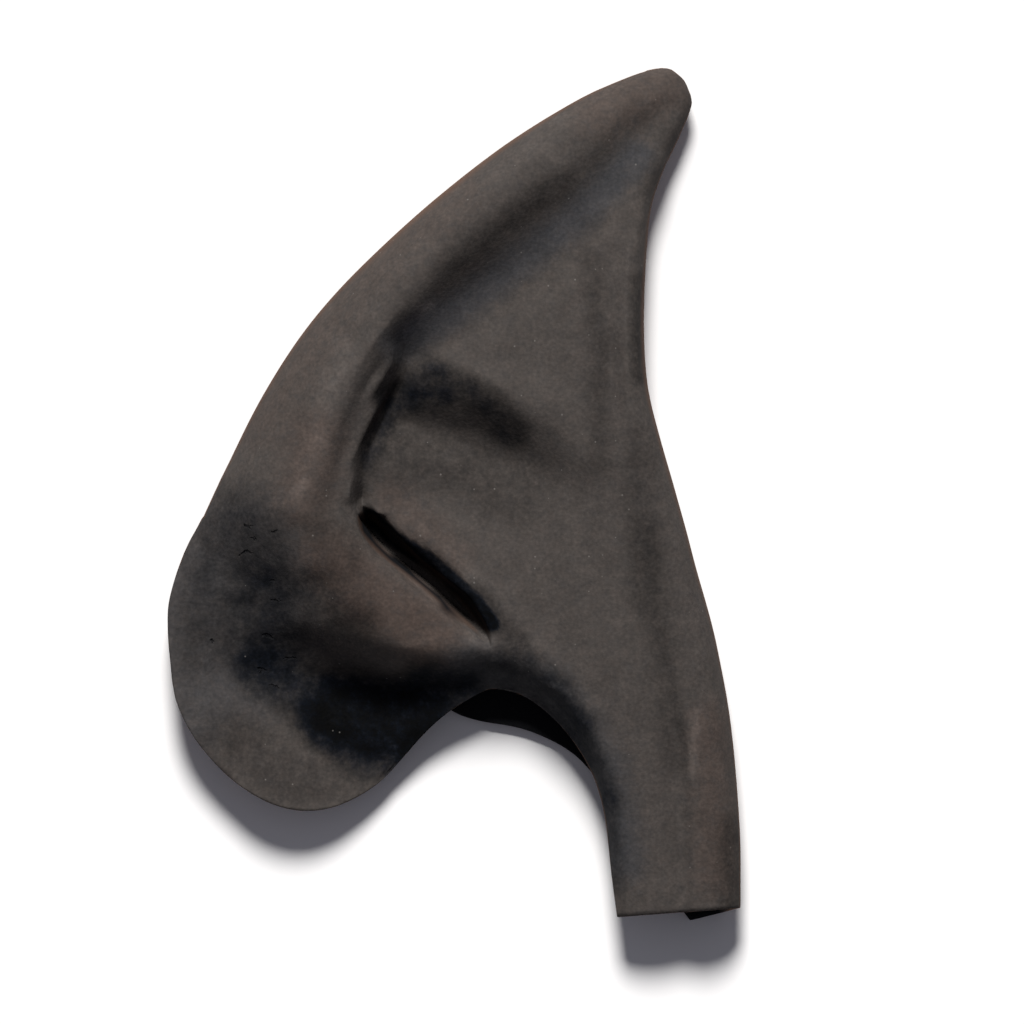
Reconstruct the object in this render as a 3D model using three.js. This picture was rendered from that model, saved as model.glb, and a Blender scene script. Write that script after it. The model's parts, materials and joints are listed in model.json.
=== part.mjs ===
// Elf ear tip: one piece of cast latex, hollow, lying on its flat back.
// The sculpted front rises from a rolled edge, and a back wall joined along that edge
// makes a pocket for the wearer's own ear. The mouth of the pocket is below: on one side
// the front runs out into a thin dished flange, on the other into a narrow channel.
//
// Millimetres. +Z is up, out of the sculpted front. +Y runs from the channel to the tip.
// The origin is under the middle of the bounding box, on the flat back.

import * as THREE from 'three';

// Overall size
const LENGTH = 95; // end of the channel to the tip
const WIDTH = 64; // edge of the flange to the edge of the channel

// Latex wall
const WALL = 1.2;
const POCKET_GAP = 1.6; // least room between the front and the back wall

// Rolled edge where the front turns into the back
const FRONT_ROLL = 5; // inside radius, across, of the widest front roll
const BACK_ROLL = 1.6; // inside radius, across, of the roll into the back
const EDGE_RISE = 3; // edge line above the back wall
const KINK_FADE = 5; // length over which the left roll opens out into the flange

// How far each part of the relief rises above the lowest the front can lie
const RIM_RISE = 9;
const CRUS_RISE = 8.2;
const SIDE_RIDGE_RISE = 5.6;
const FOSSA_RISE = 5.8;
const ANTIHELIX_RISE = 5;
const FLANGE_EDGE_RISE = 2;
const ARCH_EDGE_RISE = 1.2;
const GROOVE_RISE = 4.4;

// Narrow slit between the crus and the antihelix
const SLIT_WIDTH = 2.6;
const SLIT_FLOOR_RISE = 0.3;
const SLIT_FLOOR = 0.2; // half width of its floor, as a share of half the slit
const SLIT_BANK = 1.4; // where its banks end, as a share of half the slit
const SLIT_DEEPENING = 1.2; // how soon it is fully deep where it opens

// Channel: how much further than its front wall the back wall is cut
const BACK_TAIL = 1.4;
// How far the end of the flange bows out beyond its last section
const FLANGE_BOW = 4;

// Fineness of the faceted surface
const BODY_STEPS = 4; // rows between two body sections
const LEG_STEPS = 2; // rows between two sections of a leg
const BLEND_POWER = 2.2; // how closely the surface keeps to its fold lines
const LINE_BLUNT = 0.05; // keeps the blend finite on a fold line
const LEAST_STEP = 0.4; // points of one row that come closer than this are one point

// Sections from the tip down to the head of the arch. Places are shares of WIDTH from
// the flange's side and of LENGTH from the channel's end: the left edge, the fold line
// along the main groove and the slit, the right edge. Rolls are shares of FRONT_ROLL,
// the edge is a share of EDGE_RISE.
const BODY = table(
  ['leftX', 'leftY', 'midX', 'midY', 'rightX', 'rightY', 'leftRoll', 'rightRoll', 'edge'],
  [
    [0.904, 0.987, 0.904, 0.987, 0.904, 0.987, 0.36, 0.36, 0.6],
    [0.881, 0.999, 0.894, 0.98, 0.914, 0.968, 0.36, 0.36, 0.65],
    [0.845, 0.999, 0.873, 0.967, 0.913, 0.952, 0.36, 0.34, 0.7],
    [0.789, 0.987, 0.845, 0.946, 0.895, 0.922, 0.38, 0.32, 0.75],
    [0.71, 0.963, 0.813, 0.906, 0.873, 0.889, 0.42, 0.3, 0.8],
    [0.593, 0.915, 0.736, 0.843, 0.848, 0.841, 0.5, 0.25, 0.85],
    [0.478, 0.856, 0.64, 0.787, 0.839, 0.785, 0.6, 0.22, 0.9],
    [0.38, 0.798, 0.548, 0.736, 0.835, 0.72, 0.7, 0.22, 0.95],
    [0.291, 0.738, 0.475, 0.687, 0.836, 0.668, 0.8, 0.22, 1],
    [0.222, 0.68, 0.422, 0.635, 0.843, 0.621, 0.9, 0.24, 1],
    [0.157, 0.609, 0.37, 0.567, 0.86, 0.574, 0.97, 0.3, 1],
    [0.106, 0.539, 0.337, 0.513, 0.885, 0.516, 1, 0.4, 1],
    [0.063, 0.475, 0.339, 0.478, 0.908, 0.461, 1, 0.5, 1],
    [0.03, 0.432, 0.389, 0.435, 0.925, 0.416, 1, 0.6, 1],
    [0.005, 0.379, 0.468, 0.392, 0.944, 0.37, 1, 0.68, 1],
    [0.002, 0.338, 0.558, 0.336, 0.958, 0.332, 1, 0.72, 1],
    [0.007, 0.299, 0.562, 0.273, 0.972, 0.284, 1, 0.76, 1],
  ],
);
const KINK = 13; // section where the rolled left edge ends and the flange begins

// Flange below the head of the arch: its outer edge and the arch's edge
const FLANGE = table(
  ['leftX', 'leftY', 'archX', 'archY'],
  [
    [0.007, 0.299, 0.562, 0.273],
    [0.012, 0.27, 0.499, 0.249],
    [0.026, 0.241, 0.452, 0.222],
    [0.056, 0.206, 0.414, 0.193],
    [0.099, 0.174, 0.379, 0.167],
  ],
);

// Channel below the head of the arch: the arch's edge and the rolled right edge
const TAIL = table(
  ['archX', 'archY', 'rightX', 'rightY', 'rightRoll', 'edge'],
  [
    [0.562, 0.273, 0.972, 0.284, 0.76, 1],
    [0.614, 0.267, 0.981, 0.249, 0.78, 1],
    [0.667, 0.242, 0.988, 0.209, 0.8, 1],
    [0.71, 0.209, 0.993, 0.171, 0.8, 1],
    [0.745, 0.167, 0.997, 0.132, 0.8, 1],
    [0.764, 0.118, 1, 0.092, 0.8, 1],
    [0.773, 0.062, 1, 0.053, 0.8, 1],
    [0.784, 0.004, 1, 0.015, 0.8, 1],
  ],
);

// Cut edge of the back wall, from the kink to the end of the channel
const MOUTH = table(
  ['x', 'y'],
  [
    [0.030, 0.432],
    [0.230, 0.361],
    [0.405, 0.296],
    [0.510, 0.240],
    [0.600, 0.229],
    [0.663, 0.214],
    [0.716, 0.192],
    [0.757, 0.158],
    [0.810, 0.104],
    [0.866, 0.043],
    [0.911, 0.015],
  ],
);

// Fold lines of the relief. Each row of a line is a place, as in BODY, and the share of
// the fold's own rise that it reaches there. The surface passes through every line and
// blends between them, and a line with a longer reach holds more of the surface.
const FOLDS = [
  {
    name: 'rim crest',
    rise: RIM_RISE,
    reach: 1,
    line: [
      [0.866, 0.979, 0.13],
      [0.824, 0.963, 0.27],
      [0.775, 0.942, 0.42],
      [0.703, 0.904, 0.62],
      [0.644, 0.881, 0.76],
      [0.590, 0.857, 0.84],
      [0.515, 0.809, 0.91],
      [0.435, 0.756, 0.96],
      [0.372, 0.694, 0.98],
      [0.323, 0.637, 0.97],
      [0.291, 0.588, 0.94],
      [0.271, 0.545, 0.91],
      [0.248, 0.506, 0.88],
    ],
  },
  {
    name: 'end of the rim',
    rise: RIM_RISE,
    reach: 0.8,
    line: [
      [0.157, 0.492, 0.71],
      [0.101, 0.492, 0.44],
    ],
  },
  {
    name: 'main groove',
    rise: GROOVE_RISE,
    reach: 1.15,
    line: [
      [0.850, 0.925, 0.36],
      [0.820, 0.888, 0.57],
      [0.770, 0.828, 0.70],
      [0.719, 0.792, 0.77],
      [0.674, 0.764, 0.82],
      [0.628, 0.743, 0.86],
      [0.588, 0.726, 0.91],
      [0.545, 0.701, 0.95],
      [0.504, 0.677, 1.00],
      [0.468, 0.668, 0.98],
      [0.436, 0.661, 0.86],
    ],
  },
  {
    name: 'foot of the rim',
    rise: GROOVE_RISE,
    reach: 0.5,
    line: [
      [0.403, 0.628, 0.68],
      [0.393, 0.605, 0.68],
      [0.372, 0.577, 0.86],
      [0.354, 0.551, 1.07],
      [0.346, 0.522, 1.14],
      [0.340, 0.492, 0.77],
    ],
  },
  {
    name: 'inner shoulder of the rim',
    rise: RIM_RISE,
    reach: 0.55,
    line: [
      [0.384, 0.658, 0.87],
      [0.370, 0.633, 0.86],
      [0.360, 0.605, 0.83],
      [0.340, 0.577, 0.80],
      [0.325, 0.551, 0.78],
      [0.316, 0.523, 0.77],
      [0.312, 0.495, 0.78],
    ],
  },
  {
    name: 'valley under the fossa',
    rise: GROOVE_RISE,
    reach: 1,
    line: [
      [0.401, 0.588, 0.64],
      [0.443, 0.574, 0.50],
      [0.492, 0.565, 0.39],
      [0.545, 0.553, 0.36],
      [0.597, 0.536, 0.45],
      [0.646, 0.513, 0.66],
    ],
  },
  {
    name: 'lower shoulder of the fossa',
    rise: FOSSA_RISE,
    reach: 0.9,
    line: [
      [0.433, 0.656, 0.79],
      [0.475, 0.651, 0.93],
      [0.524, 0.642, 0.98],
      [0.579, 0.626, 1.00],
      [0.632, 0.608, 1.00],
      [0.684, 0.581, 0.97],
      [0.733, 0.545, 0.95],
    ],
  },
  {
    name: 'fossa',
    rise: FOSSA_RISE,
    reach: 1.2,
    line: [
      [0.838, 0.855, 0.45],
      [0.803, 0.808, 0.62],
      [0.743, 0.744, 0.74],
      [0.658, 0.691, 0.81],
      [0.572, 0.668, 0.84],
      [0.503, 0.656, 0.84],
    ],
  },
  {
    name: 'border of the fossa',
    rise: FOSSA_RISE,
    reach: 0.7,
    line: [
      [0.726, 0.738, 0.84],
      [0.733, 0.668, 0.93],
      [0.743, 0.598, 0.97],
      [0.766, 0.539, 0.97],
    ],
  },
  {
    name: 'groove inside the right edge',
    rise: FOSSA_RISE,
    reach: 0.6,
    line: [
      [0.764, 0.779, 0.64],
      [0.766, 0.691, 0.74],
      [0.778, 0.609, 0.79],
      [0.806, 0.527, 0.81],
      [0.836, 0.440, 0.79],
      [0.857, 0.352, 0.74],
      [0.874, 0.270, 0.67],
      [0.887, 0.200, 0.60],
      [0.892, 0.118, 0.53],
      [0.897, 0.013, 0.43],
    ],
  },
  {
    name: 'ridge along the right edge',
    rise: SIDE_RIDGE_RISE,
    reach: 0.8,
    line: [
      [0.883, 0.956, 0.18],
      [0.859, 0.923, 0.32],
      [0.832, 0.867, 0.54],
      [0.817, 0.814, 0.71],
      [0.803, 0.767, 0.86],
      [0.798, 0.691, 0.96],
      [0.812, 0.609, 1.00],
      [0.838, 0.539, 1.00],
      [0.862, 0.469, 0.98],
      [0.885, 0.375, 0.95],
      [0.904, 0.305, 0.91],
      [0.918, 0.235, 0.86],
      [0.928, 0.142, 0.75],
      [0.934, 0.011, 0.61],
    ],
  },
  {
    name: 'head of the antihelix',
    rise: ANTIHELIX_RISE,
    reach: 1.1,
    line: [
      [0.412, 0.532, 0.86],
      [0.457, 0.525, 0.76],
      [0.506, 0.515, 0.70],
      [0.562, 0.496, 0.72],
      [0.623, 0.463, 0.78],
      [0.677, 0.420, 0.86],
      [0.729, 0.361, 0.92],
      [0.771, 0.305, 0.94],
      [0.803, 0.241, 0.90],
      [0.824, 0.165, 0.82],
      [0.838, 0.071, 0.68],
      [0.845, 0.011, 0.58],
    ],
  },
  {
    name: 'antihelix lip beside the slit',
    rise: ANTIHELIX_RISE,
    reach: 0.8,
    line: [
      [0.363, 0.506, 0.92],
      [0.389, 0.491, 0.90],
      [0.421, 0.475, 0.90],
      [0.466, 0.448, 0.94],
      [0.518, 0.413, 0.98],
      [0.562, 0.375, 1.00],
      [0.600, 0.338, 0.96],
    ],
  },
  {
    name: 'crest over the arch',
    rise: ANTIHELIX_RISE,
    reach: 0.9,
    line: [
      [0.588, 0.320, 1.00],
      [0.635, 0.310, 1.00],
      [0.677, 0.284, 0.98],
      [0.724, 0.244, 0.94],
      [0.759, 0.200, 0.88],
      [0.785, 0.151, 0.78],
      [0.805, 0.095, 0.66],
      [0.818, 0.019, 0.56],
    ],
  },
  {
    name: 'crus crest',
    rise: CRUS_RISE,
    reach: 1,
    line: [
      [0.227, 0.487, 1.00],
      [0.262, 0.437, 0.96],
      [0.300, 0.392, 0.91],
      [0.346, 0.359, 0.87],
      [0.398, 0.333, 0.80],
      [0.457, 0.320, 0.74],
      [0.518, 0.316, 0.67],
      [0.579, 0.313, 0.60],
    ],
  },
  {
    name: 'crus beside the slit',
    rise: CRUS_RISE,
    reach: 0.6,
    line: [
      [0.293, 0.471, 0.95],
      [0.314, 0.437, 0.94],
      [0.361, 0.405, 0.89],
      [0.414, 0.378, 0.83],
      [0.462, 0.352, 0.77],
      [0.510, 0.331, 0.70],
    ],
  },
  {
    name: 'foot of the crus',
    rise: FLANGE_EDGE_RISE,
    reach: 1.05,
    line: [
      [0.066, 0.422, 1.20],
      [0.101, 0.385, 0.70],
      [0.143, 0.345, 0.10],
      [0.195, 0.310, -0.45],
      [0.255, 0.277, -0.80],
      [0.326, 0.258, -0.85],
      [0.398, 0.254, -0.70],
      [0.457, 0.256, 0.00],
      [0.513, 0.268, 0.50],
    ],
  },
  {
    name: 'drain of the bowl',
    rise: FLANGE_EDGE_RISE,
    reach: 1,
    line: [
      [0.230, 0.229, -0.70],
      [0.300, 0.202, -0.80],
      [0.353, 0.186, -0.80],
      [0.394, 0.171, -0.70],
    ],
  },
  {
    name: 'side of the bowl',
    rise: FLANGE_EDGE_RISE,
    reach: 0.8,
    line: [
      [0.066, 0.352, 0.70],
      [0.077, 0.294, 0.60],
      [0.105, 0.241, 0.55],
      [0.164, 0.194, 0.40],
      [0.230, 0.163, 0.15],
      [0.291, 0.152, -0.15],
    ],
  },
  {
    name: 'edge of the flange',
    rise: FLANGE_EDGE_RISE,
    reach: 0.9,
    line: [
      [0.010, 0.405, 0.60],
      [0.005, 0.379, 0.65],
      [0.002, 0.338, 0.70],
      [0.007, 0.299, 0.80],
      [0.026, 0.241, 0.90],
      [0.056, 0.206, 0.95],
      [0.099, 0.174, 0.95],
      [0.161, 0.142, 0.90],
      [0.213, 0.127, 0.80],
      [0.251, 0.124, 0.60],
      [0.290, 0.127, 0.30],
      [0.328, 0.137, -0.05],
      [0.366, 0.156, -0.40],
      [0.394, 0.174, -0.55],
      [0.422, 0.198, -0.40],
      [0.457, 0.226, -0.05],
      [0.492, 0.247, 0.30],
      [0.527, 0.263, 0.50],
      [0.562, 0.270, 0.60],
    ],
  },
  {
    name: 'edge of the arch',
    rise: ARCH_EDGE_RISE,
    reach: 0.9,
    line: [
      [0.597, 0.268, 0.67],
      [0.649, 0.248, 0.42],
      [0.684, 0.225, 0.33],
      [0.719, 0.192, 0.33],
      [0.740, 0.153, 0.58],
      [0.750, 0.106, 0.83],
      [0.759, 0.048, 1.00],
      [0.768, -0.005, 1.00],
    ],
  },
];

// The slit: places as above, and the share of its full width there
const SLIT = table(
  ['x', 'y', 'open'],
  [
    [0.342, 0.483, 0.1],
    [0.351, 0.468, 0.9],
    [0.380, 0.444, 1],
    [0.415, 0.425, 1],
    [0.466, 0.396, 1],
    [0.511, 0.367, 0.9],
    [0.551, 0.340, 0.5],
    [0.569, 0.329, 0.1],
  ],
);

// Columns of the faceted surface. In a roll they are shares of the roll's width, beside
// the middle line they are distances from it, and the rest is divided evenly.
const LEFT_ROLL_COLUMNS = [0, 0.04, 0.16, 0.38, 0.68];
const RIGHT_ROLL_COLUMNS = [0, 0.05, 0.22, 0.55, 1];
const BACK_ROLL_COLUMNS = [0, 0.13, 0.5, 1];
const BESIDE_SLIT = [0, 0.45, 1, 1.7, 2.8];
const LEFT_EVEN = 7;
const RIGHT_EVEN = 10;
const BACK_EVEN = 5;

// The lowest height at which the front clears the back wall by POCKET_GAP
const RELIEF_BASE = 2 * WALL + POCKET_GAP;

const clamp01 = (t) => Math.min(1, Math.max(0, t));
const lerp = (a, b, t) => a + (b - a) * t;
const smooth = (t) => t * t * (3 - 2 * t);
const arc = (t) => Math.sqrt(1 - (1 - clamp01(t)) ** 2);

// A table: its rows become records with the named columns
function table(columns, rows) {
  return rows.map((row) => Object.fromEntries(columns.map((name, i) => [name, row[i]])));
}

// Value of one column at a fractional row, on a smooth curve through the rows
function along(rows, column, at) {
  const last = rows.length - 1;
  const i = Math.min(last - 1, Math.max(0, Math.floor(at)));
  const t = at - i;
  const p = (k) => rows[Math.min(last, Math.max(0, k))][column];
  const [a, b, c, d] = [p(i - 1), p(i), p(i + 1), p(i + 2)];
  const slopeB = (c - a) / 2;
  const slopeC = (d - b) / 2;
  const t2 = t * t;
  const t3 = t2 * t;
  return (2 * t3 - 3 * t2 + 1) * b + (t3 - 2 * t2 + t) * slopeB
    + (3 * t2 - 2 * t3) * c + (t3 - t2) * slopeC;
}

function place(rows, side, at) {
  return new THREE.Vector2(along(rows, `${side}X`, at) * WIDTH, along(rows, `${side}Y`, at) * LENGTH);
}

// Nearest point of a polyline: distance, and where along it (vertex number and fraction)
function nearest(points, x, y) {
  let best = { distance: Infinity, at: 0 };
  for (let i = 0; i + 1 < points.length; i++) {
    const a = points[i];
    const b = points[i + 1];
    const dx = b.x - a.x;
    const dy = b.y - a.y;
    const t = clamp01(((x - a.x) * dx + (y - a.y) * dy) / (dx * dx + dy * dy));
    const distance = Math.hypot(x - a.x - t * dx, y - a.y - t * dy);
    if (distance < best.distance) best = { distance, at: i + t };
  }
  return best;
}

// Value of a list at a fractional index
function listAt(list, at) {
  const i = Math.min(list.length - 2, Math.floor(at));
  return lerp(list[i], list[i + 1], at - i);
}

const foldLines = FOLDS.map((fold) => ({
  reach: fold.reach,
  points: fold.line.map(([x, y]) => new THREE.Vector2(x * WIDTH, y * LENGTH)),
  rises: fold.line.map(([, , share]) => share * fold.rise),
}));
const slitPoints = SLIT.map((row) => new THREE.Vector2(row.x * WIDTH, row.y * LENGTH));
const slitOpen = SLIT.map((row) => row.open);

// Height of the sculpted front, before it rolls over at the edge
function relief(x, y) {
  let sum = 0;
  let weights = 0;
  for (const fold of foldLines) {
    const { distance, at } = nearest(fold.points, x, y);
    const weight = (fold.reach / (distance + LINE_BLUNT)) ** BLEND_POWER;
    sum += weight * listAt(fold.rises, at);
    weights += weight;
  }
  const rise = sum / weights;
  const slit = nearest(slitPoints, x, y);
  const half = (SLIT_WIDTH / 2) * listAt(slitOpen, slit.at);
  const cut = 1 - smooth(clamp01((slit.distance - SLIT_FLOOR * half) / (SLIT_BANK * half - SLIT_FLOOR * half)));
  const depth = clamp01(listAt(slitOpen, slit.at) * SLIT_DEEPENING);
  return RELIEF_BASE + lerp(rise, Math.min(rise, SLIT_FLOOR_RISE), cut * depth);
}

// Height of the underside of the front: everywhere a full wall below it
function reliefInside(x, y) {
  let lowest = relief(x, y) - WALL;
  for (const ring of [0.4, 0.75, 1]) {
    const reach = ring * WALL;
    const drop = Math.sqrt(WALL * WALL - reach * reach);
    for (let k = 0; k < 8; k++) {
      const angle = ((k + ring) * Math.PI) / 4;
      const height = relief(x + reach * Math.cos(angle), y + reach * Math.sin(angle)) - drop;
      lowest = Math.min(lowest, height);
    }
  }
  return lowest;
}

// The rolled edge, from the kink up the left side, round the tip and down to the end.
// Before the kink it runs straight on for a short way, where the roll opens out.
const LAST_BODY = BODY.length - 1;
const LAST_TAIL = TAIL.length - 1;
const LAST_FLANGE = FLANGE.length - 1;
const edge = [];
for (let at = KINK; at > 0; at -= 1 / 4) edge.push(edgePoint(BODY, 'left', at));
for (let at = 0; at < LAST_BODY; at += 1 / 4) edge.push(edgePoint(BODY, 'right', at));
for (let at = 0; at <= LAST_TAIL; at += 1 / 4) edge.push(edgePoint(TAIL, 'right', at));
const straightOn = new THREE.Vector2(edge[0].x - edge[1].x, edge[0].y - edge[1].y).setLength(KINK_FADE);
edge.unshift({ ...edge[0], x: edge[0].x + straightOn.x, y: edge[0].y + straightOn.y, open: 1 });

function edgePoint(rows, side, at) {
  const { x, y } = place(rows, side, at);
  const roll = along(rows, `${side}Roll`, at) * FRONT_ROLL;
  return { x, y, roll, level: WALL + along(rows, 'edge', at) * EDGE_RISE, open: 0 };
}

const edgeNormals = edge.map((_, i) => {
  const a = edge[Math.max(0, i - 1)];
  const b = edge[Math.min(edge.length - 1, i + 1)];
  return new THREE.Vector2(b.y - a.y, a.x - b.x).normalize();
});
const edgeRolls = edge.map((p) => p.roll);
const edgeLevels = edge.map((p) => p.level);
const edgeOpenings = edge.map((p) => p.open);

// What the rolled edge does at a place: how far away it is, which way leads inward,
// how wide its roll is, how high its line and how far it has opened out
function nearEdge(x, y) {
  const { distance, at } = nearest(edge, x, y);
  const i = Math.min(edge.length - 2, Math.floor(at));
  const inward = edgeNormals[i].clone().lerp(edgeNormals[i + 1], at - i).normalize();
  if (distance > LEAST_STEP) {
    inward.set(x - lerp(edge[i].x, edge[i + 1].x, at - i), y - lerp(edge[i].y, edge[i + 1].y, at - i));
    inward.normalize();
  }
  return {
    distance,
    inward,
    roll: listAt(edgeRolls, at),
    level: listAt(edgeLevels, at),
    open: smooth(listAt(edgeOpenings, at)),
  };
}

// How far in from the outer skin the inner one lies, level with the edge
function insetAt(near, outerRoll) {
  return WALL * (1 - near.open) * (1 - smooth(clamp01(near.distance / outerRoll)));
}

// One point of the front on both skins, from its place on the outer one
function frontPoint(p) {
  const near = nearEdge(p.x, p.y);
  const outerRoll = near.roll + WALL;
  const outerShare = Math.max(near.open, arc(near.distance / outerRoll));
  const outer = new THREE.Vector3(p.x, p.y, lerp(near.level, relief(p.x, p.y), outerShare));
  const inset = insetAt(near, outerRoll);
  const x = p.x + near.inward.x * inset;
  const y = p.y + near.inward.y * inset;
  const innerShare = Math.max(near.open, arc((near.distance + inset - WALL) / near.roll));
  const inner = new THREE.Vector3(x, y, lerp(near.level, reliefInside(x, y), innerShare));
  return { outer, inner };
}

// One point of the back on both skins
function backPoint(p) {
  const near = nearEdge(p.x, p.y);
  const outerRoll = BACK_ROLL + WALL;
  const outerShare = Math.max(near.open, arc(near.distance / outerRoll));
  const outer = new THREE.Vector3(p.x, p.y, lerp(near.level, 0, outerShare));
  const inset = insetAt(near, outerRoll);
  const innerShare = Math.max(near.open, arc((near.distance + inset - WALL) / BACK_ROLL));
  const inner = new THREE.Vector3(
    p.x + near.inward.x * inset,
    p.y + near.inward.y * inset,
    lerp(near.level, WALL, innerShare),
  );
  return { outer, inner };
}

// Column places between two points: distances from the start, distances from the end,
// and even steps between, all kept in order where the row is short
function columns(length, fromStart, fromEnd, even) {
  const room = length / 2;
  const fit = (list) => {
    const widest = list[list.length - 1];
    const scale = widest > 0.9 * room ? (0.9 * room) / widest : 1;
    return list.map((d) => d * scale);
  };
  const start = fit(fromStart);
  const end = fit(fromEnd);
  const a = start[start.length - 1];
  const b = length - end[end.length - 1];
  const between = Array.from({ length: even - 1 }, (_, k) => lerp(a, b, (k + 1) / even));
  return [...start, ...between, ...end.map((d) => length - d).reverse()].map((d) => d / length);
}

const skins = { outer: [], inner: [] };
const faces = [];

function addPoint({ outer, inner }) {
  skins.outer.push(outer);
  skins.inner.push(inner);
  return skins.outer.length - 1;
}

// A row of points from a to b. Its end points may already exist.
function addRow(shares, a, b, bow, make, firstId, lastId) {
  const length = a.distanceTo(b);
  const row = [];
  let kept = 0;
  shares.forEach((share, j) => {
    const end = j === shares.length - 1;
    if (j === 0 && firstId !== undefined) row.push(firstId);
    else if (end && lastId !== undefined) row.push(lastId);
    else if (!end && j > 0 && Math.min(share - kept, 1 - share) * length < LEAST_STEP) row.push(row[j - 1]);
    else {
      const p = a.clone().lerp(b, share);
      p.y -= bow * 4 * share * (1 - share);
      kept = share;
      row.push(addPoint(make(p)));
    }
  });
  return row;
}

function quad(a, b, c, d) {
  const corners = [a, b, c, d].filter((id, i, all) => all.indexOf(id) === i);
  if (corners.length < 3) return;
  if (corners.length === 3) {
    faces.push(corners);
    return;
  }
  const at = (id) => skins.outer[id];
  if (at(a).distanceTo(at(c)) <= at(b).distanceTo(at(d))) faces.push([a, b, c], [a, c, d]);
  else faces.push([a, b, d], [b, c, d]);
}

function joinRows(upper, lower) {
  for (let j = 0; j + 1 < upper.length; j++) quad(upper[j], lower[j], lower[j + 1], upper[j + 1]);
}

const leftRollAt = (at) => along(BODY, 'leftRoll', at) * FRONT_ROLL + WALL;
const rightRollAt = (rows, at) => along(rows, 'rightRoll', at) * FRONT_ROLL + WALL;
const scaled = (list, by) => list.map((t) => t * by);

function leftColumns(length, roll) {
  return columns(length, scaled(LEFT_ROLL_COLUMNS, roll), BESIDE_SLIT, LEFT_EVEN);
}

function rightColumns(length, roll) {
  return columns(length, BESIDE_SLIT, scaled(RIGHT_ROLL_COLUMNS, roll), RIGHT_EVEN);
}

function backColumns(length) {
  const roll = scaled(BACK_ROLL_COLUMNS, BACK_ROLL + WALL);
  return columns(length, roll, roll, BACK_EVEN);
}

// Place on the back wall's cut edge. It leaves the rolled edge in short steps.
function mouthPlace(from) {
  const at = from < 1 ? from * from : from;
  return new THREE.Vector2(along(MOUTH, 'x', at) * WIDTH, along(MOUTH, 'y', at) * LENGTH);
}

// Body: every row runs from the left edge over the front to the right edge, and back
// behind to the left edge, or below the kink to the cut edge of the back wall
const tip = addPoint(frontPoint(place(BODY, 'left', 0)));
const leftRows = [Array(LEFT_ROLL_COLUMNS.length + LEFT_EVEN - 1 + BESIDE_SLIT.length).fill(tip)];
const rightRows = [Array(BESIDE_SLIT.length + RIGHT_EVEN - 1 + RIGHT_ROLL_COLUMNS.length).fill(tip)];
const backRows = [Array(2 * BACK_ROLL_COLUMNS.length + BACK_EVEN - 1).fill(tip)];
for (let step = BODY_STEPS; step <= LAST_BODY * BODY_STEPS; step++) {
  const at = step / BODY_STEPS;
  const left = place(BODY, 'left', at);
  const mid = place(BODY, 'mid', at);
  const right = place(BODY, 'right', at);
  const leftRow = addRow(leftColumns(left.distanceTo(mid), leftRollAt(at)), left, mid, 0, frontPoint);
  const midId = leftRow[leftRow.length - 1];
  const rightShares = rightColumns(mid.distanceTo(right), rightRollAt(BODY, at));
  const rightRow = addRow(rightShares, mid, right, 0, frontPoint, midId);
  const rightId = rightRow[rightRow.length - 1];
  const closed = at <= KINK;
  const backEnd = closed ? left : mouthPlace(at - KINK);
  const backShares = backColumns(right.distanceTo(backEnd));
  const backRow = addRow(backShares, right, backEnd, 0, backPoint, rightId, closed ? leftRow[0] : undefined);
  leftRows.push(leftRow);
  rightRows.push(rightRow);
  backRows.push(backRow);
}

// Flange: rows from its outer edge to the arch's edge, the last ones bowed out
for (let step = 1; step <= LAST_FLANGE * LEG_STEPS; step++) {
  const at = step / LEG_STEPS;
  const left = place(FLANGE, 'left', at);
  const arch = place(FLANGE, 'arch', at);
  const shares = leftColumns(left.distanceTo(arch), leftRollAt(LAST_BODY));
  const bow = FLANGE_BOW * smooth(at / LAST_FLANGE);
  leftRows.push(addRow(shares, left, arch, bow, frontPoint));
}

// Channel: rows from the arch's edge round the right edge to the back wall's cut edge
for (let step = 1; step <= LAST_TAIL * LEG_STEPS; step++) {
  const at = step / LEG_STEPS;
  const arch = place(TAIL, 'arch', at);
  const right = place(TAIL, 'right', at);
  const rightRow = addRow(rightColumns(arch.distanceTo(right), rightRollAt(TAIL, at)), arch, right, 0, frontPoint);
  const mouth = mouthPlace(at + LAST_BODY - KINK);
  mouth.y -= BACK_TAIL * smooth(clamp01(at - LAST_TAIL + 1));
  const rightId = rightRow[rightRow.length - 1];
  const backRow = addRow(backColumns(right.distanceTo(mouth)), right, mouth, 0, backPoint, rightId);
  rightRows.push(rightRow);
  backRows.push(backRow);
}

for (const rows of [leftRows, rightRows, backRows]) {
  for (let i = 0; i + 1 < rows.length; i++) joinRows(rows[i], rows[i + 1]);
}

// The outer skin, the inner skin facing the other way, and a strip round the one mouth
function shellGeometry() {
  const count = skins.outer.length;
  const index = [];
  const open = new Map();
  for (const [a, b, c] of faces) {
    index.push(a, b, c, count + a, count + c, count + b);
    for (const [from, to] of [[a, b], [b, c], [c, a]]) {
      if (open.has(`${to} ${from}`)) open.delete(`${to} ${from}`);
      else open.set(`${from} ${to}`, [from, to]);
    }
  }
  for (const [from, to] of open.values()) {
    index.push(to, from, count + from, to, count + from, count + to);
  }
  const points = [...skins.outer, ...skins.inner];
  const box = new THREE.Box3().setFromPoints(points);
  const middle = box.getCenter(new THREE.Vector3());
  const geometry = new THREE.BufferGeometry();
  const values = points.flatMap((p) => [p.x - middle.x, p.y - middle.y, p.z - box.min.z]);
  geometry.setAttribute('position', new THREE.Float32BufferAttribute(values, 3));
  geometry.setIndex(index);
  geometry.computeVertexNormals();
  return geometry;
}

const latex = new THREE.MeshStandardMaterial({ color: 0x3b3633, roughness: 0.85, metalness: 0 });

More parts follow.
